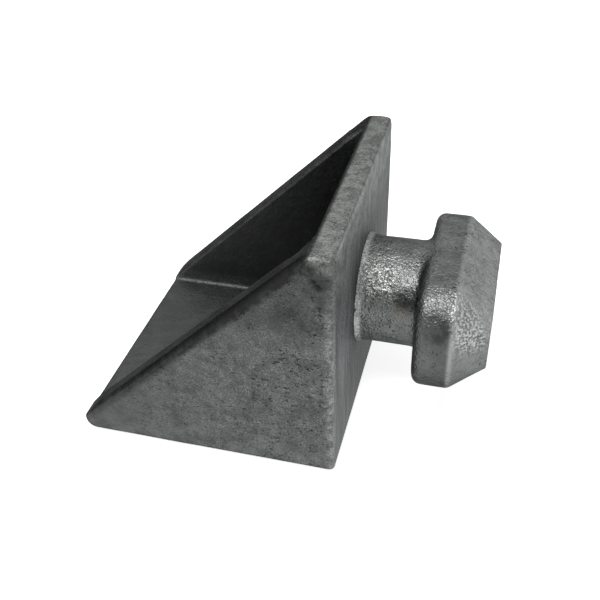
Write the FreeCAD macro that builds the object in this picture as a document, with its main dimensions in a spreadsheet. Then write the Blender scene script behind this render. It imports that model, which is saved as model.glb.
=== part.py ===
import FreeCAD, Part
import os
import Sketcher
from FreeCAD import Vector
from math import acos, atan2, cos, hypot, pi, radians, sin, sqrt

# Container twistlock: a hollow steel wedge that carries a twist pin with an oblong head.
# The pin turns a quarter turn in the wedge's upright plate, so that its head locks behind
# the slotted hole of a container corner fitting. A castle nut and a split pin hold it.
# Millimetres, +Z up, +X towards the head; the origin is on the ground, under the middle.

doc = FreeCAD.newDocument("ContainerTwistlock")

# ---------------------------------------------------------------- driving dimensions
sheet = doc.addObject("Spreadsheet::Sheet", "Sizes")
SIZES = [
    ("wedge_length", 136.0, "plate's outer face to the tip of the nose"),
    ("plate_width", 144.0, "width of the wedge, over its cheeks"),
    ("plate_height", 128.0, "height of the upright plate"),
    ("plate_thick", 13.0, "thickness of the upright plate"),
    ("cheek_thick", 13.0, "thickness of each triangular cheek"),
    ("floor_thick", 7.0, "thickness of the floor"),
    ("nose_radius", 6.5, "radius of the wedge's rounded nose"),
    ("crest_round", 6.0, "radius where the plate's top meets the slope"),
    ("casting_round", 3.0, "radius on the casting's outer edges"),
    ("core_round", 6.0, "radius in the hollow's upright corners"),
    ("floor_round", 2.0, "radius between the floor and the walls"),
    ("rim_round", 1.2, "radius on the hollow's rim"),
    ("pin_height", 64.4, "pin's axis above the ground"),
    ("stub_dia", 55.0, "diameter of the pin's stub"),
    ("grip_length", 31.0, "plate's outer face to the underside of the head"),
    ("head_long", 97.4, "head, the long way"),
    ("head_short", 57.8, "head, the short way"),
    ("head_corner", 20.2, "corner radius of the head's outline"),
    ("head_side", 18.0, "upright side of the head, along the axis"),
    ("cone_length", 17.0, "lead-in of the head, along the axis"),
    ("cone_inset", 12.6, "lead-in of the head, across the axis"),
    ("head_round", 5.0, "radius round the underside of the head"),
    ("neck_fillet", 3.0, "hollow radius between the stub and the head"),
    ("end_round", 1.5, "radius round the end face of the head"),
    ("foot_flare", 3.7, "slope at the foot of the stub, along and across the axis"),
    ("foot_rim", 1.0, "thickness of the foot's rim"),
    ("end_play", 0.5, "gap between the foot and the plate"),
    ("shank_dia", 32.0, "diameter of the shank in the plate"),
    ("turn_clear", 0.08, "radial running clearance of the shank"),
    ("thread_dia", 24.0, "diameter of the threaded tail"),
    ("screw_clear", 0.1, "radial clearance round the tail"),
    ("tail_over", 1.5, "tail that stands behind the nut"),
    ("tail_chamfer", 1.5, "chamfer on the end of the tail"),
    ("lug_reach", 8.0, "stop lug, out from the shank"),
    ("lug_thick", 4.0, "stop lug, along the axis"),
    ("lug_span", 40.0, "stop lug, round the axis, in degrees"),
    ("stop_turn", 90.0, "turn between the stops, in degrees"),
    ("stop_slack", 1.0, "slack at each stop, in degrees"),
    ("stop_clear", 0.5, "clearance over and behind the stop lug"),
    ("washer_dia", 48.0, "outer diameter of the thrust washer"),
    ("washer_thick", 3.0, "thickness of the thrust washer"),
    ("washer_chamfer", 0.6, "chamfer on the thrust washer"),
    ("spotface_depth", 1.0, "depth of the spot face behind the plate"),
    ("spotface_room", 1.5, "radial room round the washer"),
    ("nut_flats", 36.0, "castle nut across its flats"),
    ("nut_thick", 9.0, "hexagon of the castle nut"),
    ("nut_chamfer", 0.5, "chamfer behind the hexagon, inside its flats"),
    ("crown_dia", 34.0, "diameter of the nut's crown"),
    ("crown_height", 6.0, "height of the nut's crown"),
    ("slot_width", 5.5, "width of the crown's slots"),
    ("wire_dia", 4.8, "diameter of the split pin's two legs"),
    ("wire_gap", 0.1, "slit between the split pin's legs"),
    ("wire_clear", 0.2, "radial clearance of the split pin"),
    ("eye_radius", 3.6, "inner radius of the split pin's eye"),
    ("neck_radius", 4.0, "radius where the eye runs into the legs"),
    ("bend_radius", 4.0, "radius of the bend in each leg"),
    ("leg_tail", 9.0, "straight end of each bent leg"),
]
for row, (alias, value, note) in enumerate(SIZES, start=1):
    sheet.set("A%d" % row, note)
    sheet.set("B%d" % row, str(value))
    sheet.setAlias("B%d" % row, alias)
doc.recompute()

# Lengths that several sub-parts share, as formulas on the sheet.
HEAD_REACH = "(Sizes.grip_length + Sizes.head_side + Sizes.cone_length)"
PLATE_FACE = "(Sizes.wedge_length - " + HEAD_REACH + ") / 2"
SEAT_DEPTH = "(Sizes.plate_thick - Sizes.spotface_depth)"
NUT_SEAT = "(" + SEAT_DEPTH + " + Sizes.washer_thick)"
NUT_HEIGHT = "(Sizes.nut_thick + Sizes.crown_height)"
SLOT_DEPTH = "(" + NUT_SEAT + " + Sizes.nut_thick + Sizes.crown_height / 2)"
LUG_RADIUS = "(Sizes.shank_dia / 2 + Sizes.lug_reach)"
TAIL_HOLE = "(Sizes.thread_dia + 2 * Sizes.screw_clear)"
LEG_RADIUS = "((Sizes.wire_dia - Sizes.wire_gap) / 2)"
LEG_START = "(Sizes.crown_dia / 2 + Sizes.wire_clear)"
EYE_SPAN = ("sqrt((Sizes.eye_radius + Sizes.neck_radius)^2"
            " - (Sizes.neck_radius + Sizes.wire_gap / 2)^2)")
EYE_END = "(" + LEG_START + " + Sizes.eye_radius + " + EYE_SPAN + ")"
LUG_MIDDLE = "-90"      # the lug hangs down at rest, in degrees from +Y towards +Z


def size(formula):
    """A size, or a formula on sizes, as a number."""
    return float(sheet.evalExpression(formula.replace("Sizes.", "")))


# ---------------------------------------------------------------- modelling helpers
def new_body(name, along=None, height=None):
    """A body placed on the row's frame by formulas on the sheet."""
    body = doc.addObject("PartDesign::Body", name)
    body.Label = name
    body.setExpression("Placement.Base.x", PLATE_FACE + (" - " + along if along else ""))
    if height:
        body.setExpression("Placement.Base.z", height)
    return body


def origin_item(body, role):
    return next(item for item in body.Origin.OriginFeatures if item.Role == role)


def new_sketch(body, name, role, offset=None):
    """A sketch on one of the body's own origin planes, or parallel to it."""
    sketch = body.newObject("Sketcher::SketchObject", name)
    sketch.AttachmentSupport = [(origin_item(body, role), "")]
    sketch.MapMode = "FlatFace"
    if offset:
        sketch.setExpression("AttachmentOffset.Base.z", offset)
    return sketch


def add_line(sketch, start, end):
    return sketch.addGeometry(Part.LineSegment(Vector(*start, 0), Vector(*end, 0)), False)


def add_arc(sketch, centre, radius, first, last):
    circle = Part.Circle(Vector(*centre, 0), Vector(0, 0, 1), radius)
    return sketch.addGeometry(Part.ArcOfCircle(circle, first, last), False)


def join(sketch, kind, *pairs):
    for pair in pairs:
        sketch.addConstraint(Sketcher.Constraint(kind, *pair))


def dimension(sketch, name, formula, kind, *items):
    """One driving dimension, bound to a formula on the sheet."""
    value = size(formula)
    index = sketch.addConstraint(Sketcher.Constraint(kind, *items, value))
    sketch.renameConstraint(index, name)
    sketch.setExpression("Constraints." + name, formula)


def add_outline(sketch, points):
    """A closed outline of straight lines, pinned corner by corner.

    Each point is a pair of formulas, measured from the sketch's origin."""
    places = [(size(across), size(up)) for across, up in points]
    lines = [add_line(sketch, start, end)
             for start, end in zip(places, places[1:] + places[:1])]
    join(sketch, "Coincident",
         *((one, 2, two, 1) for one, two in zip(lines, lines[1:] + lines[:1])))
    for index, (line, (across, up)) in enumerate(zip(lines, points)):
        name = "point%d" % index
        dimension(sketch, name + "_across", across, "DistanceX", -1, 1, line, 1)
        dimension(sketch, name + "_up", up, "DistanceY", -1, 1, line, 1)


def add_rounded_outline(sketch, left, right, below, over, corner):
    """A rectangle with rounded corners; its sides are formulas from the origin."""
    west, east, south, north, round_off = map(size, (left, right, below, over, corner))
    x_low, x_high = west + round_off, east - round_off
    y_low, y_high = south + round_off, north - round_off
    sides = [add_line(sketch, (x_high, south), (x_low, south)),
             add_line(sketch, (west, y_low), (west, y_high)),
             add_line(sketch, (x_low, north), (x_high, north)),
             add_line(sketch, (east, y_high), (east, y_low))]
    centres = [(x_low, y_low), (x_low, y_high), (x_high, y_high), (x_high, y_low)]
    arcs = []
    for number, centre in enumerate(centres):
        last = (3 - number) * pi / 2
        arcs.append(add_arc(sketch, centre, round_off, last - pi / 2, last))
    for number, arc in enumerate(arcs):
        follower = sides[(number + 1) % 4]
        join(sketch, "Tangent", (sides[number], 2, arc, 2), (arc, 1, follower, 1))
    join(sketch, "Horizontal", (sides[0],), (sides[2],))
    join(sketch, "Vertical", (sides[1],), (sides[3],))
    join(sketch, "Equal", (arcs[0], arcs[1]), (arcs[1], arcs[2]), (arcs[2], arcs[3]))
    dimension(sketch, "corner", corner, "Radius", arcs[0])
    dimension(sketch, "left", left, "DistanceX", -1, 1, sides[1], 1)
    dimension(sketch, "right", right, "DistanceX", -1, 1, sides[3], 1)
    dimension(sketch, "below", below, "DistanceY", -1, 1, sides[0], 1)
    dimension(sketch, "over", over, "DistanceY", -1, 1, sides[2], 1)


def add_circle(sketch, name, diameter, across="0", up="0"):
    place = Vector(size(across), size(up), 0)
    circle = Part.Circle(place, Vector(0, 0, 1), size(diameter) / 2)
    index = sketch.addGeometry(circle, False)
    dimension(sketch, name + "_across", across, "DistanceX", -1, 1, index, 3)
    dimension(sketch, name + "_up", up, "DistanceY", -1, 1, index, 3)
    dimension(sketch, name, diameter, "Diameter", index)
    return index


def add_sector(sketch, radius, first, last, height="0"):
    """A sector round the pin's axis, from angle first to angle last in degrees."""
    centre = (0.0, size(height))
    reach, start, end = size(radius), radians(size(first)), radians(size(last))
    tips = [(reach * cos(turn), centre[1] + reach * sin(turn)) for turn in (start, end)]
    arc = add_arc(sketch, centre, reach, start, end)
    out, back = add_line(sketch, centre, tips[0]), add_line(sketch, tips[1], centre)
    join(sketch, "Coincident", (out, 2, arc, 1), (arc, 2, back, 1), (back, 2, out, 1),
         (arc, 3, out, 1))
    dimension(sketch, "centre_up", height, "DistanceY", -1, 1, arc, 3)
    join(sketch, "PointOnObject", (arc, 3, -2))
    dimension(sketch, "radius", radius, "Radius", arc)
    sketch.addConstraint(Sketcher.Constraint("Angle", out, start))
    sketch.renameConstraint(sketch.ConstraintCount - 1, "start")
    sketch.setExpression("Constraints.start", "(" + first + ") * 1 deg")
    sketch.addConstraint(Sketcher.Constraint("Angle", arc, end - start))
    sketch.renameConstraint(sketch.ConstraintCount - 1, "span")
    sketch.setExpression("Constraints.span", "(" + last + " - (" + first + ")) * 1 deg")


def finish(feature):
    """Computes a feature, and stops if a cut took nothing away."""
    doc.recompute()
    if feature.TypeId in ("PartDesign::Pocket", "PartDesign::Groove"):
        if feature.Shape.Volume >= feature.BaseFeature.Shape.Volume:
            raise RuntimeError(feature.Label + " cuts nothing")
    return feature


def extrude(body, kind, name, sketch, formula=None, symmetric=False, reverse=False):
    """A pad or a pocket, by a formula's length or through everything."""
    feature = body.newObject("PartDesign::" + kind, name)
    feature.Profile = sketch
    feature.SideType = "Symmetric" if symmetric else "One side"
    feature.Reversed = reverse
    if formula:
        feature.setExpression("Length", formula)
    else:
        feature.Type = "ThroughAll"
    return finish(feature)


def revolve(body, kind, name, sketch, axis="H_Axis"):
    """A full turn of the sketch about one of its axes."""
    feature = body.newObject("PartDesign::" + kind, name)
    feature.Profile = sketch
    feature.ReferenceAxis = (sketch, [axis])
    return finish(feature)


def edges_where(feature, test):
    """Names of the edges whose middle point, and direction there, pass the test."""
    names = []
    for number, edge in enumerate(feature.Shape.Edges, start=1):
        if edge.Degenerated:
            continue
        middle = (edge.FirstParameter + edge.LastParameter) / 2
        if test(edge.valueAt(middle), edge.tangentAt(middle)):
            names.append("Edge%d" % number)
    return names


def round_edges(body, name, base, radius, test):
    feature = body.newObject("PartDesign::Fillet", name)
    feature.Base = (base, edges_where(base, test))
    feature.setExpression("Radius", radius)
    doc.recompute()
    return feature


NEAR = 0.01     # millimetres within which two places count as one


def near(one, two):
    return abs(one - two) < NEAR


# ---------------------------------------------------------------- wedge body
# One hollow steel casting, open on its slope: upright plate, floor and two cheeks. The floor
# runs out level at the nose, with no lip, so that the hollow is open there.
# Its outer edges, the hollow's corners and the rim are rounded. The plate is bored for the
# pin, recessed for the stop lug and spot-faced behind for the washer.
def make_wedge_body():
    body = new_body("wedge_body")
    height, thick = size("Sizes.plate_height"), size("Sizes.plate_thick")
    nose = size("Sizes.nose_radius")
    nose_x = nose - size("Sizes.wedge_length")

    # The slope runs from the back of the plate's top to the nose, which it touches.
    rise, run = height - nose, -thick - nose_x
    touch = atan2(rise, run) + acos(nose / hypot(rise, run))
    profile = new_sketch(body, "side_profile", "XZ_Plane")
    face = add_line(profile, (0, 0), (0, height))
    top = add_line(profile, (0, height), (-thick, height))
    slope_end = (nose_x + nose * cos(touch), nose + nose * sin(touch))
    slope = add_line(profile, (-thick, height), slope_end)
    tip = add_arc(profile, (nose_x, nose), nose, touch, 1.5 * pi)
    ground = add_line(profile, (nose_x, 0), (0, 0))
    join(profile, "Coincident", (face, 1, -1, 1), (face, 2, top, 1), (top, 2, slope, 1),
         (ground, 2, face, 1))
    join(profile, "Tangent", (slope, 2, tip, 1), (tip, 2, ground, 1))
    join(profile, "Vertical", (face,))
    join(profile, "Horizontal", (top,), (ground,))
    dimension(profile, "height", "Sizes.plate_height", "DistanceY", face, 1, face, 2)
    dimension(profile, "thick", "Sizes.plate_thick", "DistanceX", top, 2, top, 1)
    dimension(profile, "nose", "Sizes.nose_radius", "Radius", tip)
    dimension(profile, "reach", "Sizes.wedge_length - Sizes.nose_radius",
              "DistanceX", tip, 3, -1, 1)
    block = extrude(body, "Pad", "block", profile, "Sizes.plate_width", symmetric=True)

    def on_crest(point, along):
        return near(abs(along.y), 1) and near(point.x, -thick) and near(point.z, height)

    crest = round_edges(body, "crest", block, "Sizes.crest_round", on_crest)
    cheek = size("Sizes.plate_width") / 2

    def on_outside(point, along):
        across = near(abs(along.y), 1) and near(point.x, 0)
        return across or near(abs(point.y), cheek)

    outside = round_edges(body, "outer_edges", crest, "Sizes.casting_round", on_outside)

    plan = new_sketch(body, "hollow_plan", "XY_Plane", "Sizes.floor_thick")
    front = "-(Sizes.wedge_length + Sizes.core_round)"
    half_room = "(Sizes.plate_width / 2 - Sizes.cheek_thick)"
    add_rounded_outline(plan, front, "-Sizes.plate_thick", "-" + half_room, half_room,
                        "Sizes.core_round")
    hollow = extrude(body, "Pocket", "hollow", plan, reverse=True)

    skin = outside.Shape.Shells[0]
    floor, inner = size("Sizes.floor_thick"), size(half_room)

    def on_skin(point):
        return skin.distToShape(Part.Vertex(point))[0] < NEAR

    def on_floor(point, along):
        """Round the floor, but not where it runs out at the nose."""
        return near(point.z, floor) and not on_skin(point)

    cored = round_edges(body, "floor_corners", hollow, "Sizes.floor_round", on_floor)

    def on_rim(point, along):
        """The rim lies on the casting's outer skin, within the hollow's plan."""
        within = abs(point.y) < inner + NEAR and point.x < NEAR - thick
        return within and on_skin(point)

    round_edges(body, "rim", cored, "Sizes.rim_round", on_rim)

    bore_sketch = new_sketch(body, "seat_profile", "XZ_Plane")
    bore = "(Sizes.shank_dia / 2 + Sizes.turn_clear)"
    spot = "(Sizes.washer_dia / 2 + Sizes.spotface_room)"
    seat, behind = "-" + SEAT_DEPTH, "-(Sizes.plate_thick + Sizes.core_round)"
    over = "Sizes.pin_height + "
    add_outline(bore_sketch, [
        ("Sizes.casting_round", "Sizes.pin_height"), ("Sizes.casting_round", over + bore),
        (seat, over + bore), (seat, over + spot), (behind, over + spot),
        (behind, "Sizes.pin_height")])
    axis = bore_sketch.addGeometry(Part.LineSegment(
        Vector(-thick, size("Sizes.pin_height"), 0), Vector(0, size("Sizes.pin_height"), 0)), True)
    join(bore_sketch, "Horizontal", (axis,))
    dimension(bore_sketch, "axis_up", "Sizes.pin_height", "DistanceY", -1, 1, axis, 1)
    revolve(body, "Groove", "seat", bore_sketch, "Axis0")

    recess_sketch = new_sketch(body, "stop_profile", "YZ_Plane")
    room = "Sizes.lug_span / 2 + Sizes.stop_slack"
    add_sector(recess_sketch, LUG_RADIUS + " + Sizes.stop_clear",
               LUG_MIDDLE + " - (" + room + ")",
               LUG_MIDDLE + " + Sizes.stop_turn + " + room, "Sizes.pin_height")
    extrude(body, "Pocket", "stop_recess", recess_sketch,
            "Sizes.lug_thick - Sizes.end_play + Sizes.stop_clear")
    return body


# ---------------------------------------------------------------- lock pin
# One steel forging: an oblong head with a lead-in all round, a round stub that flares into
# a foot, a shank that turns in the plate, a stop lug under the foot and a threaded tail.
def make_lock_pin():
    body = new_body("lock_pin", height="Sizes.pin_height")
    outline = new_sketch(body, "head_outline", "YZ_Plane", "Sizes.grip_length")
    half_long, half_short = "Sizes.head_long / 2", "Sizes.head_short / 2"
    add_rounded_outline(outline, "-" + half_long, half_long, "-" + half_short, half_short,
                        "Sizes.head_corner")
    block = extrude(body, "Pad", "head_block", outline, "Sizes.head_side + Sizes.cone_length")

    base_x = size("Sizes.grip_length")
    end_x = size(HEAD_REACH)
    cone = body.newObject("PartDesign::Chamfer", "lead_in")
    cone.Base = (block, edges_where(block, lambda point, along: near(point.x, end_x)))
    cone.ChamferType = "Two distances"
    cone.setExpression("Size", "Sizes.cone_length")
    cone.setExpression("Size2", "Sizes.cone_inset")
    doc.recompute()

    under = round_edges(body, "head_underside", cone, "Sizes.head_round",
                        lambda point, along: near(point.x, base_x))
    round_edges(body, "head_end", under, "Sizes.end_round",
                lambda point, along: near(point.x, end_x))

    turned = new_sketch(body, "turned_profile", "XZ_Plane")
    tail = "-(" + NUT_SEAT + " + " + NUT_HEIGHT + " + Sizes.tail_over)"
    thread, shank, stub = "Sizes.thread_dia / 2", "Sizes.shank_dia / 2", "Sizes.stub_dia / 2"
    foot = "(Sizes.stub_dia / 2 + Sizes.foot_flare)"
    rim_x = "(Sizes.end_play + Sizes.foot_rim)"
    flare_x = "(Sizes.end_play + Sizes.foot_rim + Sizes.foot_flare)"
    root = "(Sizes.grip_length + Sizes.head_side / 2)"
    corners = [
        (tail, "0"), (tail, thread + " - Sizes.tail_chamfer"),
        (tail + " + Sizes.tail_chamfer", thread), ("-" + SEAT_DEPTH, thread),
        ("-" + SEAT_DEPTH, shank), ("Sizes.end_play", shank), ("Sizes.end_play", foot),
        (rim_x, foot), (flare_x, stub), (root, stub), (root, "0")]
    add_outline(turned, corners)
    rod = revolve(body, "Revolution", "stub_and_tail", turned)

    def on_neck(point, along):
        """Where the stub runs into the head's underside, flat or rounded."""
        beside = near(hypot(point.y, point.z), size("Sizes.stub_dia / 2"))
        under_head = base_x - NEAR < point.x < base_x + size("Sizes.head_round")
        return beside and under_head

    round_edges(body, "neck", rod, "Sizes.neck_fillet", on_neck)

    lug_sketch = new_sketch(body, "lug_profile", "YZ_Plane", "Sizes.end_play")
    half = "Sizes.lug_span / 2"
    add_sector(lug_sketch, LUG_RADIUS, LUG_MIDDLE + " - " + half, LUG_MIDDLE + " + " + half)
    extrude(body, "Pad", "stop_lug", lug_sketch, "Sizes.lug_thick", reverse=True)

    hole_sketch = new_sketch(body, "hole_profile", "XZ_Plane")
    add_circle(hole_sketch, "hole", "Sizes.wire_dia + 2 * Sizes.wire_clear", "-" + SLOT_DEPTH)
    extrude(body, "Pocket", "split_pin_hole", hole_sketch, symmetric=True)
    return body


# ---------------------------------------------------------------- thrust washer
# A thick steel washer between the nut and the plate, chamfered on the nut's side.
def make_thrust_washer():
    body = new_body("thrust_washer", along=SEAT_DEPTH, height="Sizes.pin_height")
    section = new_sketch(body, "section", "XZ_Plane")
    bore, outer = TAIL_HOLE + " / 2", "Sizes.washer_dia / 2"
    lower = outer + " - Sizes.washer_chamfer"
    back = "-Sizes.washer_thick"
    add_outline(section, [
        ("0", bore), ("0", outer), (back + " + Sizes.washer_chamfer", outer), (back, lower),
        (back, bore)])
    revolve(body, "Revolution", "ring", section)
    return body


# ---------------------------------------------------------------- castle nut
# A thin hexagon nut with a round crown; six slots in the crown take the split pin.
SLOT_PAIRS = 3


def make_castle_nut():
    body = new_body("castle_nut", along=NUT_SEAT, height="Sizes.pin_height")
    hexagon = new_sketch(body, "hexagon", "YZ_Plane")
    reach = size("Sizes.nut_flats") / sqrt(3)
    tips = [(reach * cos(radians(60 * turn + 30)), reach * sin(radians(60 * turn + 30)))
            for turn in range(6)]
    lines = [add_line(hexagon, a, b) for a, b in zip(tips, tips[1:] + tips[:1])]
    circle = hexagon.addGeometry(Part.Circle(Vector(), Vector(0, 0, 1), reach), True)
    join(hexagon, "Coincident",
         *((one, 2, two, 1) for one, two in zip(lines, lines[1:] + lines[:1])),
         (circle, 3, -1, 1))
    join(hexagon, "PointOnObject", *((line, 1, circle) for line in lines))
    join(hexagon, "Equal", *((lines[0], line) for line in lines[1:]))
    join(hexagon, "Vertical", (lines[5],))
    dimension(hexagon, "flats", "Sizes.nut_flats / sqrt(3)", "Radius", circle)
    extrude(body, "Pad", "hexagon_block", hexagon, "Sizes.nut_thick", reverse=True)

    chamfer = new_sketch(body, "chamfer_profile", "XZ_Plane")
    start = "(Sizes.nut_flats / 2 - Sizes.nut_chamfer)"
    beyond = "(Sizes.nut_flats / sqrt(3) + Sizes.nut_chamfer)"
    drop = "(" + beyond + " - " + start + ") / sqrt(3)"
    back = "-Sizes.nut_thick"
    add_outline(chamfer, [(back, start), (back + " + " + drop, beyond), (back, beyond)])
    revolve(body, "Groove", "hexagon_chamfer", chamfer)

    crown_sketch = new_sketch(body, "crown_outline", "YZ_Plane")
    add_circle(crown_sketch, "crown", "Sizes.crown_dia")
    extrude(body, "Pad", "crown", crown_sketch, NUT_HEIGHT, reverse=True)
    bore_sketch = new_sketch(body, "bore_outline", "YZ_Plane")
    add_circle(bore_sketch, "bore", TAIL_HOLE)
    extrude(body, "Pocket", "bore", bore_sketch)

    slot_sketch = new_sketch(body, "slot_outline", "YZ_Plane", "-" + NUT_HEIGHT)
    half_slot, half_cut = "Sizes.slot_width / 2", "(Sizes.crown_dia / 2 + Sizes.wire_clear)"
    add_outline(slot_sketch, [
        ("-" + half_cut, "-" + half_slot), (half_cut, "-" + half_slot),
        (half_cut, half_slot), ("-" + half_cut, half_slot)])
    slot = extrude(body, "Pocket", "slot", slot_sketch, "Sizes.crown_height", reverse=True)
    slots = body.newObject("PartDesign::PolarPattern", "slots")
    slots.Originals = [slot]
    slots.Axis = (origin_item(body, "X_Axis"), [""])
    slots.Occurrences = SLOT_PAIRS
    slots.Angle = 180 * (SLOT_PAIRS - 1) / SLOT_PAIRS
    body.Tip = slots
    return body


# ---------------------------------------------------------------- split pin
# Half-round wire, here with few flats, folded into an eye and two legs. The legs go through
# the tail and two slots of the crown, and their ends are bent apart behind it.
def make_split_pin():
    body = new_body("split_pin", along=SLOT_DEPTH, height="Sizes.pin_height")
    eye, neck, bend = map(size, ("Sizes.eye_radius", "Sizes.neck_radius", "Sizes.bend_radius"))
    leg, slit = size(LEG_START), size("Sizes.wire_gap / 2")
    end = -size(EYE_END)
    turn = acos((neck + slit) / (eye + neck))
    neck_x, bend_x = end + eye + size(EYE_SPAN), leg

    path = new_sketch(body, "path", "YZ_Plane")
    loop = add_arc(path, (end + eye, 0), eye, pi / 2 - turn, pi)
    inlet = add_arc(path, (neck_x, slit + neck), neck, 1.5 * pi - turn, 1.5 * pi)
    straight = add_line(path, (neck_x, slit), (bend_x, slit))
    corner = add_arc(path, (bend_x, slit + bend), bend, -pi / 2, 0)
    tail_top = slit + bend + size("Sizes.leg_tail")
    tail = add_line(path, (bend_x + bend, slit + bend), (bend_x + bend, tail_top))
    join(path, "Tangent", (loop, 1, inlet, 1), (inlet, 2, straight, 1),
         (straight, 2, corner, 1), (corner, 2, tail, 1))
    join(path, "Horizontal", (straight,))
    join(path, "Vertical", (tail,))
    join(path, "PointOnObject", (loop, 3, -1), (loop, 2, -1))
    dimension(path, "eye", "Sizes.eye_radius", "Radius", loop)
    dimension(path, "neck", "Sizes.neck_radius", "Radius", inlet)
    dimension(path, "bend", "Sizes.bend_radius", "Radius", corner)
    dimension(path, "slit", "Sizes.wire_gap / 2", "DistanceY", -1, 1, straight, 1)
    dimension(path, "leg", LEG_START, "DistanceX", -1, 1, straight, 2)
    dimension(path, "neck_start", "-(" + EYE_END + " - Sizes.eye_radius - " + EYE_SPAN + ")",
              "DistanceX", -1, 1, straight, 1)
    dimension(path, "tail", "Sizes.leg_tail", "DistanceY", tail, 1, tail, 2)

    section = new_sketch(body, "half_wire", "XY_Plane")
    flat, corner_at = "-" + EYE_END, LEG_RADIUS + " / sqrt(2)"
    add_outline(section, [
        (LEG_RADIUS, flat), ("-" + LEG_RADIUS, flat),
        ("-" + corner_at, flat + " - " + corner_at), ("0", flat + " - " + LEG_RADIUS),
        (corner_at, flat + " - " + corner_at)])

    half = body.newObject("PartDesign::AdditivePipe", "upper_half")
    half.Profile = section
    half.Spine = (path, [])
    half.Mode = "Binormal"
    half.Binormal = Vector(1, 0, 0)
    doc.recompute()
    both = body.newObject("PartDesign::Mirrored", "both_halves")
    both.Originals = [half]
    both.MirrorPlane = (origin_item(body, "XY_Plane"), [""])
    body.Tip = both
    return body


# ---------------------------------------------------------------- check and write
PARTS = [make_wedge_body(), make_lock_pin(), make_thrust_washer(), make_castle_nut(),
         make_split_pin()]
doc.recompute()
for item in doc.Objects:
    if "Invalid" in item.State or "Error" in item.State:
        raise RuntimeError("%s did not build: %s" % (item.Name, item.State))
for item in PARTS:
    if item.Shape.isNull() or not item.Shape.isValid() or len(item.Shape.Solids) != 1:
        raise RuntimeError(item.Label + " is not one sound solid")

os.makedirs("parts", exist_ok=True)
for item in PARTS:
    item.Shape.exportStep("parts/" + item.Label + ".step")
    print("%-14s %9.0f mm3 %3d faces" % (item.Label, item.Shape.Volume, len(item.Shape.Faces)))
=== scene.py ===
from math import pi, radians

import bpy
from mathutils import Matrix, Vector, noise


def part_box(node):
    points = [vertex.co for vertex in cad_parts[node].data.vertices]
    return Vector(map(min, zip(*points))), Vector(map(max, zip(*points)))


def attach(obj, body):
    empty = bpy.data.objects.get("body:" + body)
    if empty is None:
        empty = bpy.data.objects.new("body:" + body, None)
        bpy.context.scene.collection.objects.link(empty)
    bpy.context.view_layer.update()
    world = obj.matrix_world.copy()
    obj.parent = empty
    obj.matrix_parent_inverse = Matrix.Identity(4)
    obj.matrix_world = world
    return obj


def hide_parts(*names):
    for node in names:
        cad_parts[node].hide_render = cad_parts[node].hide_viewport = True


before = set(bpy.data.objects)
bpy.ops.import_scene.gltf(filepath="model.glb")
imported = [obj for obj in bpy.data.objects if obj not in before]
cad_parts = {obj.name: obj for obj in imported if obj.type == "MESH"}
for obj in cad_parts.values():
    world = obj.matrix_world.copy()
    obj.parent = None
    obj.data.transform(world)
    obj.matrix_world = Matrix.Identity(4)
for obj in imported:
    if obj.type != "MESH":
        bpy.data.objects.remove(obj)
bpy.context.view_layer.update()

# ---------------------------------------------------------------- wedge casting
# One hollow casting of steel, open on its slope, hot-dip galvanised. The sand-cast faces
# are a little wavy and pitted, the edges are soft, and dull zinc covers all of it.
plate_face, cheek_face, plate_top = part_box("wedge_body")[1]     # outer faces: x, |y| and z
wall = 0.013                                # how thick the plate and the cheeks are
inner_cheek, plate_back = cheek_face - wall, plate_face - wall
pin_height = 0.0644                         # z of the pin's axis
slope_x, slope_z = -0.6944, 0.7195          # the slope's outward direction
still_radius = 0.034                        # round the bore, left as machined
nose_tip, nose_floor = -0.101, 0.0076       # where the cheeks' ends meet the floor's edge
nose_rise, nose_ease = 1.20, 0.0072         # the ends' slope, and how far it reaches
corner_rounds = 16                          # rounds of smoothing on the plate's top corners
corner_x, corner_y, corner_z = 0.012, 0.059, 0.114      # they lie outside this x, |y| and z
wedge_cell = 0.00122                        # metres between the points of its mesh
wave_size, wave_depth = 0.016, 0.00016
dent_size, dent_depth = 0.0042, 0.00030
dent_from, patch_from = 0.62, 0.35          # how high the noise stands where they begin
patch_shift = Vector((7, 3, 5))             # takes the patches from another part of the noise
edge_tint = (0.35, 0.35, 0.35, 1)           # dull zinc stays dull when seen along its face


def select_only(piece):
    """Makes a piece the active one and the only one that is selected."""
    bpy.ops.object.select_all(action="DESELECT")
    bpy.context.view_layer.objects.active = piece
    piece.select_set(True)


def apply_modifier(piece, kind, **settings):
    """Adds a modifier, applies it and leaves its result in the mesh."""
    select_only(piece)
    modifier = piece.modifiers.new(kind.lower(), kind)
    for name, setting in settings.items():
        setattr(modifier, name, setting)
    bpy.ops.object.modifier_apply(modifier=modifier.name)


def merge(piece):
    """Joins points that lie together."""
    select_only(piece)
    bpy.ops.object.mode_set(mode="EDIT")
    bpy.ops.mesh.select_all(action="SELECT")
    bpy.ops.mesh.remove_doubles(threshold=1e-6)
    bpy.ops.object.mode_set(mode="OBJECT")


def even_copy(node, name, cell):
    """A closed copy of a node in even cells, laid back on the node's own surface."""
    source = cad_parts[node]
    piece = bpy.data.objects.new(name, source.data.copy())
    bpy.context.scene.collection.objects.link(piece)
    piece.data.materials.clear()
    merge(piece)
    apply_modifier(piece, "REMESH", mode="VOXEL", voxel_size=cell)
    apply_modifier(piece, "SHRINKWRAP", target=source, wrap_method="NEAREST_SURFACEPOINT")
    apply_modifier(piece, "SMOOTH", factor=0.5, iterations=1)
    bpy.ops.object.shade_smooth()
    return piece


def sink(piece, depth_at):
    """Moves each point inwards, by the depth that depth_at gives for its place."""
    points = piece.data.vertices
    moved = [point.co - point.normal * depth_at(point.co) for point in points]
    points.foreach_set("co", [part for place in moved for part in place])
    piece.data.update()


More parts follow.
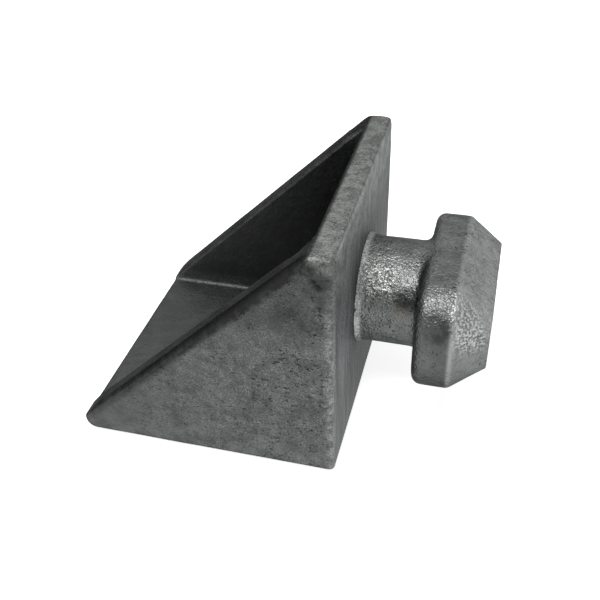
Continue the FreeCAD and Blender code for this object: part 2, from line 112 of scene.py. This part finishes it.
def soften(piece, rounds, test):
    """Smooths the points of a piece whose places pass a test, round after round."""
    group = piece.vertex_groups.new(name="soft")
    group.add([point.index for point in piece.data.vertices if test(point.co)], 1.0, "REPLACE")
    apply_modifier(piece, "SMOOTH", factor=0.5, iterations=rounds, vertex_group="soft")
    piece.vertex_groups.clear()


def lumps(place, size):
    """Noise from 0 to 1 whose lumps are about size metres across."""
    return noise.noise(place / size) * 0.5 + 0.5


def cast_depth(place):
    """A cast wave all over, with dents in patches; the plate round the bore stays true."""
    from_axis = Vector((0, place.y, place.z - pin_height)).length
    if from_axis < still_radius and place.x > plate_back - 0.001:
        return 0.0
    dents = max(0.0, lumps(place, dent_size) - dent_from) / (1 - dent_from)
    patches = max(0.0, lumps(place + patch_shift, wave_size * 2) - patch_from)
    return wave_depth * lumps(place, wave_size) + dent_depth * dents * patches


class Value:
    """One socket of a material; arithmetic on it adds the Math nodes."""

    def __init__(self, tree, socket=None):
        self.tree, self.socket = tree, socket

    def add(self, kind, settings, inputs, output=0):
        """Any node: its settings first, then the values or links of its sockets."""
        node = self.tree.nodes.new("ShaderNode" + kind)
        for name, setting in settings.items():
            setattr(node, name, setting)
        for key, given in inputs.items():
            if isinstance(given, Value):
                self.tree.links.new(given.socket, node.inputs[key])
            else:
                node.inputs[key].default_value = given
        return Value(self.tree, node.outputs[output])

    def maths(self, operation, *terms):
        """A Math node on the given values."""
        return self.add("Math", {"operation": operation}, dict(enumerate(terms)))

    def __add__(self, other):
        return self.maths("ADD", self, other)

    def __sub__(self, other):
        return self.maths("SUBTRACT", self, other)

    def __rsub__(self, other):
        return self.maths("SUBTRACT", other, self)

    def __mul__(self, other):
        return self.maths("MULTIPLY", self, other)

    __radd__, __rmul__ = __add__, __mul__

    def __abs__(self):
        return self.maths("ABSOLUTE", self)

    def root(self):
        """Its square root."""
        return self.maths("SQRT", self)

    def most(self, other):
        """The larger of this value and another."""
        return self.maths("MAXIMUM", self, other)

    def held(self):
        """This value, kept between 0 and 1."""
        return self.between(0.0, 1.0)

    def between(self, low, high, start=0.0, end=1.0):
        """A smooth step from start to end as this value goes from low to high."""
        inputs = {"Value": self, "From Min": low, "From Max": high,
                  "To Min": start, "To Max": end}
        return self.add("MapRange", {"interpolation_type": "SMOOTHSTEP"}, inputs)

    def parts(self):
        """The X, Y and Z of this place."""
        return [self.add("SeparateXYZ", {}, {0: self}, output=axis) for axis in "XYZ"]

    def stretched(self, *factors):
        """This place with each axis times its factor."""
        return self.add("VectorMath", {"operation": "MULTIPLY"}, {0: self, 1: factors})

    def noise(self, size, detail=2.0, rough=0.5):
        """Noise whose lumps are about size metres across, at this place."""
        inputs = {"Vector": self, "Scale": 1 / size, "Detail": detail, "Roughness": rough}
        return self.add("TexNoise", {}, inputs)

    def spot(self, centre, reach):
        """1 round a centre, fading to 0 at its reaches along X, Y and Z."""
        away = self.add("VectorMath", {"operation": "SUBTRACT"}, {0: self, 1: centre})
        away = away.stretched(*(1 / along for along in reach))
        far = self.add("VectorMath", {"operation": "LENGTH"}, {0: away}, output="Value")
        return far.between(1.0, 0.3)

    def spots(self, *marks):
        """The sum of several spots, each times its own strength."""
        return sum(self.spot(centre, reach) * strength for centre, reach, strength in marks)

    def mix(self, one, two):
        """Colour one where this value is 0, colour two where it is 1."""
        return self.add("Mix", {"data_type": "RGBA"}, {"Factor": self, 6: one, 7: two}, output=2)


def grey(level, warmth=0.0):
    """A zinc grey of that level, a little green and blue, or warmer."""
    return (level * (0.97 + warmth), level * 1.01, level * (0.99 - warmth), 1.0)


def new_steel(name):
    """A steel material, and the place on the object in it."""
    material = bpy.data.materials.new(name)
    material.use_nodes = True
    shader = material.node_tree.nodes["Principled BSDF"]
    shader.inputs["Metallic"].default_value = 1.0
    shader.inputs["Specular Tint"].default_value = edge_tint
    return material, Value(material.node_tree).add("TexCoord", {}, {}, output="Object")


def finish_steel(material, colour, roughness, height, depth):
    """Joins a colour, a roughness and a relief of that depth to the steel's shader."""
    shader = material.node_tree.nodes["Principled BSDF"]
    relief = height.add("Bump", {}, {"Height": height, "Distance": depth})
    for socket, value in (("Base Color", colour), ("Roughness", roughness), ("Normal", relief)):
        material.node_tree.links.new(value.socket, shader.inputs[socket])


cast_zinc, place = new_steel("cast_zinc")
x, y, z = place.parts()
side = abs(y)
over_slope = x * slope_x + z * slope_z - (plate_back * slope_x + plate_top * slope_z)
grain = place.noise(0.0009, 3.0, 0.7).between(0.36, 0.64)
cloud = place.noise(0.015, 4.0, 0.6).between(0.34, 0.66)
ragged = place.noise(0.0055, 4.0, 0.65).between(0.40, 0.60)
colour = (grain * 0.50 + cloud * 0.26 + ragged * 0.24).mix(grey(0.052), grey(0.166))

# pits come in clusters, more of them low down and towards the plate
low_down = z.between(0.0, 0.06, 0.10, 0.0) + x.between(-0.02, 0.03, 0.0, 0.06)
cluster = (place.noise(0.016, 3.0, 0.6) + low_down).between(0.52, 0.70)
pit = place.noise(0.0014, 2.5, 0.6).between(0.56, 0.68) * cluster
colour = (pit * 0.8).mix(colour, grey(0.030))

# fine dark and light specks, fewer towards the nose, where the cheeks are smoother
coarse = x.between(-0.09, -0.02, 0.25, 1.0)
colour = ((1 - coarse) * 0.75).mix(colour, grey(0.090))
speck = place.noise(0.0007, 2.0, 0.5)
colour = (speck.between(0.58, 0.66) * ragged * coarse * 0.6).mix(colour, grey(0.022))
colour = (speck.between(0.42, 0.34) * ragged * coarse * 0.5).mix(colour, grey(0.300))

# ragged flecks where the zinc has flaked, most near the plate's corner and low down
flaking = x.between(-0.03, 0.03, 0.0, 0.13) + z.between(0.06, 0.0, 0.0, 0.06)
flaking = (place.noise(0.022, 2.0, 0.5) + flaking).between(0.54, 0.66)
flaking = flaking + x.between(0.021, 0.026) * x.between(0.034, 0.030) * 0.8
fleck = place.stretched(0.7, 1, 1.1).noise(0.0019, 5.0, 0.72).between(0.585, 0.630)
fleck = (fleck * flaking * coarse).held()
colour = (fleck * 0.85).mix(colour, grey(0.016))

# the plate's outer face has streaks where zinc has run down, in place of flecks. It is
# lighter low down and along its top, and beside the stub a bluish band is painted light where the
# stub's shade and reflection fall
on_face = x.between(plate_face - 0.0012, plate_face - 0.0004)
streak = place.stretched(1, 1, 0.10).noise(0.0032, 3.0, 0.6).between(0.34, 0.66)
run = (streak * 0.5 + z.between(0.004, 0.080, 0.35, 0.0)).mix(grey(0.150), grey(0.320))
run = ((ragged * 0.5 + 0.3) * z.between(0.085, 0.12)).mix(run, grey(0.420))
# painted light: a lighter bluish band beside the stub, over its shade and reflection
painted_light_by_stub = place.spot((plate_face, -0.050, 0.076), (0.01, 0.026, 0.045))
run = painted_light_by_stub.mix(run, streak.mix(grey(0.310, -0.02), grey(0.440, -0.02)))
colour = on_face.mix(colour, run)

# a painted highlight runs along the plate's rounded corners, over zinc that stands thick there
corner = x.between(plate_face - 0.0065, plate_face - 0.0005)
corner = corner * side.between(cheek_face - 0.0065, cheek_face - 0.0005)
corner_highlight_on_zinc = corner * (ragged * 0.6 + 0.35) * (1 - fleck * 0.8)
colour = corner_highlight_on_zinc.mix(colour, grain.mix(grey(0.140), grey(0.360)))

# the plate's top is painted lighter, as lit from above, and grainy; a painted highlight runs over
# its near corner round dark blotches
blotch = place.spots(((0.020, -cheek_face, 0.1225), (0.008, 0.006, 0.006), 1.0),
                     ((0.029, -cheek_face, 0.1165), (0.007, 0.006, 0.007), 1.0),
                     ((-0.006, -cheek_face, 0.092), (0.012, 0.006, 0.012), 0.5))
lit_top_area = z.between(plate_top - 0.0015, plate_top - 0.0004) * x.between(0.018, 0.024)
lit_top = (grain * 0.6 + ragged * 0.4).mix(grey(0.105, 0.01), grey(0.330, 0.01))
top_corner_highlight = place.spot((0.030, -0.070, 0.126), (0.012, 0.010, 0.020)) * (1 - blotch)
lit_top_area = lit_top_area.most(top_corner_highlight)
colour = (lit_top_area * (1 - pit * 0.8)).mix(colour, lit_top)

# the rim face is painted dark, as the shade its slope catches, darkest where it turns over onto
# the cheeks
on_rim = over_slope.between(-0.0022, -0.0010)
rim_shade = (grain * 0.6 + cloud * 0.4).mix(grey(0.014), grey(0.058))
colour = (on_rim * 0.92).mix(colour, rim_shade)
# painted shade: a dark band along the rim's edge on the cheeks, and a fading one down them by the
# plate
on_cheek = side.between(cheek_face - 0.0048, cheek_face - 0.0030)
by_plate = x.between(-0.045, 0.028)
shade_below_rim = over_slope.between(-0.026, -0.004) * by_plate * (ragged * 0.5 + cloud * 0.5)
to_nose = x.between(-0.11, -0.02, 0.50, 1.0)
rim_edge_shade = over_slope.between(-0.0072, -0.0025) * (ragged * 0.3 + 0.7) * to_nose
rim_edge_shade = (rim_edge_shade * x.between(0.024, 0.014) + shade_below_rim * 0.8) * on_cheek
colour = (rim_edge_shade.held() * 0.92).mix(colour, grey(0.018))

# the near cheek is dark in its top corner, and both are paler along the bottom
dusk = place.spot((0.018, -cheek_face, 0.108), (0.030, 0.006, 0.036))
colour = (dusk * (cloud * 0.6 + 0.2)).mix(colour, grey(0.026))
colour = (blotch * (ragged * 0.7 + 0.2)).mix(colour, grey(0.016))
pale = z.between(0.036, 0.0) * on_cheek * (cloud * 0.20 + 0.06)
colour = pale.mix(colour, grey(0.240))

# the hollow is painted dark as shade, most on its walls and up by the plate
inside = side.between(inner_cheek + 0.0006, inner_cheek + 0.0016, 1.0, 0.0)
inside = inside * x.between(plate_back + 0.0006, plate_back + 0.0016, 1.0, 0.0)
inside = inside * z.between(0.0058, 0.0066) * over_slope.between(-0.0030, -0.0012, 1.0, 0.0)
hollow_shade = cloud * 0.25 + grain * 0.15 + x.between(-0.10, 0.02, 0.60, 0.10)
hollow_shade = hollow_shade.mix(grey(0.028), grey(0.105))
hollow_shade = (z.between(0.010, 0.018) * 0.80).mix(hollow_shade, grey(0.036))
hollow_shade = (x.between(-0.05, 0.02) * z.between(0.02, 0.08) * 0.80).mix(hollow_shade, grey(0.008))
colour = (inside * 0.97).mix(colour, hollow_shade)

roughness = grain * 0.12 + corner * 0.08 + 0.42
relief = place.noise(0.0010, 3.0, 0.65) + place.noise(0.004, 2.0, 0.5) * 1.6
relief = relief - pit * 0.9 - fleck * 0.8
finish_steel(cast_zinc, colour, roughness, relief, 0.00026)

wedge_casting = even_copy("wedge_body", "wedge_casting", wedge_cell)
for point in wedge_casting.data.vertices:   # the cheeks die away into the nose
    height = nose_floor + (point.co.x - nose_tip) * nose_rise
    if point.co.x < nose_tip + nose_ease and point.co.z > height:
        point.co.z = height
soften(wedge_casting, corner_rounds, lambda at: at.x > corner_x
       and abs(at.y) > corner_y and at.z > corner_z)
sink(wedge_casting, cast_depth)
wedge_casting.data.materials.append(cast_zinc)
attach(wedge_casting, "wedge")
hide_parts("wedge_body")

# ---------------------------------------------------------------- lock pin
# One steel forging: oblong head with a lead-in, round stub, shank, stop lug and threaded
# tail. Its zinc is thicker and brighter than the casting's, with an orange-peel skin.
head_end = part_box("lock_pin")[1].x
head_from = head_end - 0.035                # x of the head's underside
crease_x = head_end - 0.017                 # x of the crease round it, where the lead-in starts
stub_radius = 0.0275
foot_at, foot_to = 0.0355, 0.0402           # x of the foot's underside, and of its top
foot_flare, foot_drop = 0.0016, 0.0004      # how far the foot stands out, and runs down
stub_from = 0.0352                          # x past which all of the pin is outside the plate
skin = 0.0005                               # how deep under the stub's side the foot is sought
crease_rounds, crease_reach = 10, 0.005     # rounds of smoothing, and how far round the crease
neck_rounds, neck_from = 24, head_from - 0.006
neck_reach = 0.005                          # past the head's underside, and past the stub
pin_cell = 0.0009                           # metres between the points of its mesh
ripple_size, ripple_depth = 0.0048, 0.00012
fold = radians(60)                          # edges sharper than this stay sharp


def forged_depth(place):
    """The stub and head are rippled; the shank, lug and tail stay true."""
    if place.x < foot_to:
        return 0.0
    return wave_depth * lumps(place, wave_size) + ripple_depth * lumps(place, ripple_size)


forged_zinc, place = new_steel("forged_zinc")
x, y, z = place.parts()
up = z - pin_height
grain = place.noise(0.0009, 3.0, 0.7).between(0.36, 0.64)
cloud = place.noise(0.013, 4.0, 0.6).between(0.34, 0.66)
ragged = place.noise(0.005, 3.0, 0.6).between(0.40, 0.60)
colour = (grain * 0.5 + cloud * 0.3 + ragged * 0.2).mix(grey(0.105), grey(0.225))

# the lead-in is painted lighter, as lit from its side, least low down at its near end, with a
# painted highlight line on the crease
on_lead_in = x.between(crease_x - 0.0004, crease_x + 0.0012)
lit_lead_in = (grain * 0.55 + ragged * 0.3 + cloud * 0.15).mix(grey(0.200), grey(0.420))
lit_lead_in = (up.between(0.020, 0.0) * y.between(0.0, -0.030) * 0.7).mix(lit_lead_in, grey(0.165))
colour = (on_lead_in * 0.9).mix(colour, lit_lead_in)
crease_highlight = x.between(crease_x - 0.0022, crease_x) * x.between(crease_x + 0.0022, crease_x)
colour = (crease_highlight * 0.45).mix(colour, grey(0.420))

# the flare at the stub's foot is grainy and painted light, a highlight where it curves up to the
# plate
from_axis = (y * y + up * up).root()
foot_highlight = x.between(foot_to, foot_to - 0.0008) * from_axis.between(stub_radius, stub_radius + 0.0006)
colour = foot_highlight.mix(colour, (grain * 0.7 + ragged * 0.3).mix(grey(0.160), grey(0.480)))

# the head's near end is painted darker, as shade
near_end_shade = x.between(head_from, head_from + 0.002) * x.between(crease_x, crease_x - 0.002)
near_end_shade = near_end_shade * y.between(-0.034, -0.044) * (cloud * 0.4 + 0.3)
colour = near_end_shade.mix(colour, grey(0.060))

# painted highlights glitter on the stub's shoulder and at the near end of the lead-in
highlight_grain = place.noise(0.0012, 2.0, 0.5).between(0.42, 0.62)
tip_highlight = place.spots(((0.089, -0.041, 0.0800), (0.012, 0.013, 0.022), 1.0),
                       ((0.096, -0.036, 0.0700), (0.006, 0.010, 0.012), 0.7))
painted_highlight = place.spot((0.043, -0.0195, 0.0835), (0.021, 0.015, 0.016)) + tip_highlight * 0.7
highlight_spangle = highlight_grain.mix(grey(0.050, 0.02), grey(0.300, 0.02))
colour = (painted_highlight.held() * (ragged * 0.3 + 0.4)).mix(colour, highlight_spangle)
colour = (tip_highlight.held() * highlight_grain * 0.5).mix(colour, grey(0.620, -0.01))

# painted shade lies dark below the stub's shoulder, in the neck and round the
# head's near corner; there is a trace of rust, and zinc stands smooth and thick low on the stub
painted_shade_spots = place.spots(((0.060, -0.0243, 0.0773), (0.0085, 0.010, 0.0085), 1.0),
                      ((0.050, -0.026, 0.0745), (0.016, 0.012, 0.0085), 0.45),
                      ((0.077, -0.047, 0.0800), (0.0115, 0.014, 0.0145), 0.75),
                      ((0.066, -0.020, 0.0780), (0.005, 0.030, 0.034), 0.50),
                      ((0.084, -0.046, 0.0470), (0.020, 0.014, 0.022), 0.40))
colour = (painted_shade_spots * (ragged * 0.4 + 0.6)).between(0.0, 1.0, 0.0, 0.9).mix(colour, grey(0.022))
rusty = place.spot((0.0575, -0.0267, 0.0711), (0.0060, 0.010, 0.0050))
colour = (rusty * (ragged * 0.25 + 0.08)).mix(colour, (0.120, 0.085, 0.055, 1.0))
smooth = place.spot((0.0555, -0.0272, 0.0606), (0.0075, 0.006, 0.0050))
colour = (smooth * 0.5).mix(colour, grey(0.150, -0.02))

# small pits in clusters
pit = place.noise(0.0013, 2.0, 0.6).between(0.60, 0.67)
pit = pit * place.noise(0.015, 3.0, 0.6).between(0.50, 0.62)
colour = (pit * 0.85).mix(colour, grey(0.022))

roughness = grain * 0.12 + 0.34
relief = place.noise(0.0011, 1.5, 0.5) * (1 - smooth) + place.noise(0.005, 2.0, 0.5) * 1.2
finish_steel(forged_zinc, colour, roughness, relief - pit * 0.4, 0.00060)

lock_forging = even_copy("lock_pin", "lock_forging", pin_cell)
soften(lock_forging, crease_rounds, lambda at: abs(at.x - crease_x) < crease_reach)
soften(lock_forging, neck_rounds, lambda at: neck_from < at.x < head_from + neck_reach
       and Vector((at.y, at.z - pin_height)).length < stub_radius + neck_reach)
sink(lock_forging, forged_depth)
for point in lock_forging.data.vertices:    # the foot flares out in a hollow curve
    across = Vector((0, point.co.y, point.co.z - pin_height))
    if stub_from < point.co.x < foot_to and across.length > stub_radius - skin:
        rise = 1 - min(1.0, max(0.0, (point.co.x - foot_at) / (foot_to - foot_at)))
        across *= min(1.0, (stub_radius + foot_flare * rise ** 3) / across.length)
        point.co.y, point.co.z = across.y, across.z + pin_height
    if stub_from < point.co.x < foot_at + foot_drop:
        point.co.x = foot_at - foot_drop
merge(lock_forging)
bpy.ops.object.shade_smooth_by_angle(angle=fold)
lock_forging.data.materials.append(forged_zinc)
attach(lock_forging, "lock")
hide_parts("lock_pin")

# ---------------------------------------------------------------- washer and castle nut
# Turned from steel bar and zinc plated: satin metal with fine rings round the pin's axis,
# and a little dust from the years behind the plate.
plated_zinc, place = new_steel("plated_zinc")
x, y, z = place.parts()
up = z - pin_height
ring = (y * y + up * up).root() + x
ring = place.add("CombineXYZ", {}, {0: ring}).noise(0.0006, 2.0, 0.6)
dust = place.noise(0.009, 3.0, 0.6).between(0.40, 0.66)
colour = (dust * 0.8).mix(grey(0.42), grey(0.20, 0.02))
finish_steel(plated_zinc, colour, ring * 0.10 + dust * 0.22 + 0.24, ring, 0.00004)
for name in ("thrust_washer", "castle_nut"):
    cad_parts[name].data.materials.clear()
    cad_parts[name].data.materials.append(plated_zinc)

# ---------------------------------------------------------------- split pin
# Half-round steel wire folded double: a round eye, two straight legs through the nut and
# the tail, and their ends bent apart behind the crown. One leg is modelled, then mirrored.
wire_x, wire_radius, slit = 0.008, 0.00235, 0.00005
eye_radius, neck_radius, bend_radius, leg_tail = 0.0036, 0.004, 0.004, 0.009
leg_end = 0.0172
eye_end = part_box("split_pin")[0].y + wire_radius
eye_y = eye_end + eye_radius
neck_y = -leg_end
swing = 1.0085                              # the eye's half turn less the neck's, in radians
wire_fold = radians(35)                     # edges sharper than this stay sharp

bpy.ops.object.select_all(action="DESELECT")
bpy.ops.mesh.primitive_circle_add(vertices=20, radius=wire_radius, fill_type="NGON",
                                  location=(wire_x, eye_end, 0))
split_wire = bpy.context.object
split_wire.name = "split_wire"
bpy.ops.object.transform_apply(location=True)
bpy.ops.object.mode_set(mode="EDIT")
bpy.ops.mesh.select_all(action="SELECT")
bpy.ops.mesh.bisect(plane_co=(wire_x, eye_end, 0), plane_no=(0, 1, 0), clear_outer=True)
bpy.ops.mesh.select_all(action="SELECT")
bpy.ops.mesh.spin(steps=16, angle=pi / 2 + swing, center=(wire_x, eye_y, 0), axis=(1, 0, 0))
bpy.ops.mesh.spin(steps=8, angle=-swing, center=(wire_x, neck_y, slit + neck_radius),
                  axis=(1, 0, 0))
bpy.ops.mesh.extrude_region_move(TRANSFORM_OT_translate={"value": (0, leg_end - neck_y, 0)})
bpy.ops.mesh.spin(steps=10, angle=-pi / 2, center=(wire_x, leg_end, slit + bend_radius),
                  axis=(1, 0, 0))
bpy.ops.mesh.extrude_region_move(TRANSFORM_OT_translate={"value": (0, 0, leg_tail)})
bpy.ops.mesh.select_all(action="DESELECT")
bpy.ops.object.mode_set(mode="OBJECT")
for face in split_wire.data.polygons:       # where the two legs meet, at the eye's far end
    face.select = abs(face.center.z) < slit / 10 and len(face.vertices) > 4
bpy.ops.object.mode_set(mode="EDIT")
bpy.ops.mesh.delete(type="ONLY_FACE")
bpy.ops.object.mode_set(mode="OBJECT")
apply_modifier(split_wire, "MIRROR", use_axis=(False, False, True), merge_threshold=slit / 10)
bpy.ops.object.mode_set(mode="EDIT")
bpy.ops.mesh.select_all(action="SELECT")
bpy.ops.mesh.normals_make_consistent(inside=False)
bpy.ops.transform.translate(value=(0, 0, pin_height))
bpy.ops.object.mode_set(mode="OBJECT")
bpy.ops.object.shade_smooth_by_angle(angle=wire_fold)

wire_zinc, place = new_steel("wire_zinc")
scratch = place.stretched(1, 0.08, 1).noise(0.0008, 2.0, 0.6)
dust = place.noise(0.005, 3.0, 0.6).between(0.42, 0.66)
colour = (dust * 0.7).mix(grey(0.46), grey(0.24, 0.02))
finish_steel(wire_zinc, colour, scratch * 0.12 + dust * 0.2 + 0.22, scratch, 0.00003)
split_wire.data.materials.append(wire_zinc)
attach(split_wire, "lock")
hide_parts("split_pin")

# ---------------------------------------------------------------- floor and light
# A plain white studio: a pale floor that keeps the shadow, an even white room and one
# soft lamp high over the near side.
floor_size, floor_level = 8, -0.0004        # a hair under the casting, so that they don't touch
bpy.ops.object.select_all(action="DESELECT")
bpy.ops.mesh.primitive_plane_add(size=floor_size, location=(0, 0, floor_level))
floor = bpy.context.object
floor.name = "floor"


def seen_rays(tree):
    """1 for rays that show the background itself: camera, glossy and transmission rays."""
    rays = [Value(tree).add("LightPath", {}, {}, output=name)
            for name in ("Is Camera Ray", "Is Glossy Ray", "Is Transmission Ray")]
    return rays[0].most(rays[1]).most(rays[2])


white_floor = bpy.data.materials.new("white_floor")
white_floor.use_nodes = True
tree = white_floor.node_tree
tree.nodes.clear()
to_camera = Value(tree).add("LightPath", {}, {}, output="Is Camera Ray")
lit = to_camera * 0.32 + seen_rays(tree) * 0.40
glow = lit.add("Emission", {}, {"Strength": lit})
paint = Value(tree).add("BsdfDiffuse", {}, {"Color": (0.8, 0.8, 0.8, 1)})
both = glow.add("AddShader", {}, {0: glow, 1: paint})
tree.links.new(both.socket, tree.nodes.new("ShaderNodeOutputMaterial").inputs["Surface"])
floor.data.materials.append(white_floor)

room = bpy.data.worlds.new("white_room")
bpy.context.scene.world = room
room.use_nodes = True
tree = room.node_tree
tree.nodes.clear()
strength = seen_rays(tree).between(0.0, 1.0, 0.6, 1.0)
sky = strength.add("Background", {}, {"Color": (1, 1, 1, 1), "Strength": strength})
tree.links.new(sky.socket, tree.nodes.new("ShaderNodeOutputWorld").inputs["Surface"])

lamp_from = Vector((-0.060, -0.480, 1.080))
overhead_light = bpy.data.lights.new("overhead", "AREA")
overhead_light.energy = 10.0
overhead_light.size = 0.34
overhead = bpy.data.objects.new("overhead", overhead_light)
bpy.context.scene.collection.objects.link(overhead)
overhead.location = lamp_from
overhead.rotation_euler = (-lamp_from).to_track_quat("-Z", "Y").to_euler()

# ---------------------------------------------------------------- camera
# A close view from above the near side, with a lens of ordinary length and a slight roll.
# It only frames the piece; nothing in the materials depends on it.
camera_at, aim_at = Vector((0.0956, -0.3407, 0.3164)), Vector((-0.0003, 0, 0.0494))
roll = radians(-1.69)
lens = bpy.data.cameras.new("camera")
lens.lens = 49.3
lens.sensor_width = 36
camera = bpy.data.objects.new("camera", lens)
bpy.context.scene.collection.objects.link(camera)
camera.location = camera_at
facing = (aim_at - camera_at).to_track_quat("-Z", "Y").to_matrix()
camera.rotation_euler = (facing @ Matrix.Rotation(roll, 3, "Z")).to_euler()
bpy.context.scene.camera = camera
bpy.context.scene.view_settings.view_transform = "Standard"
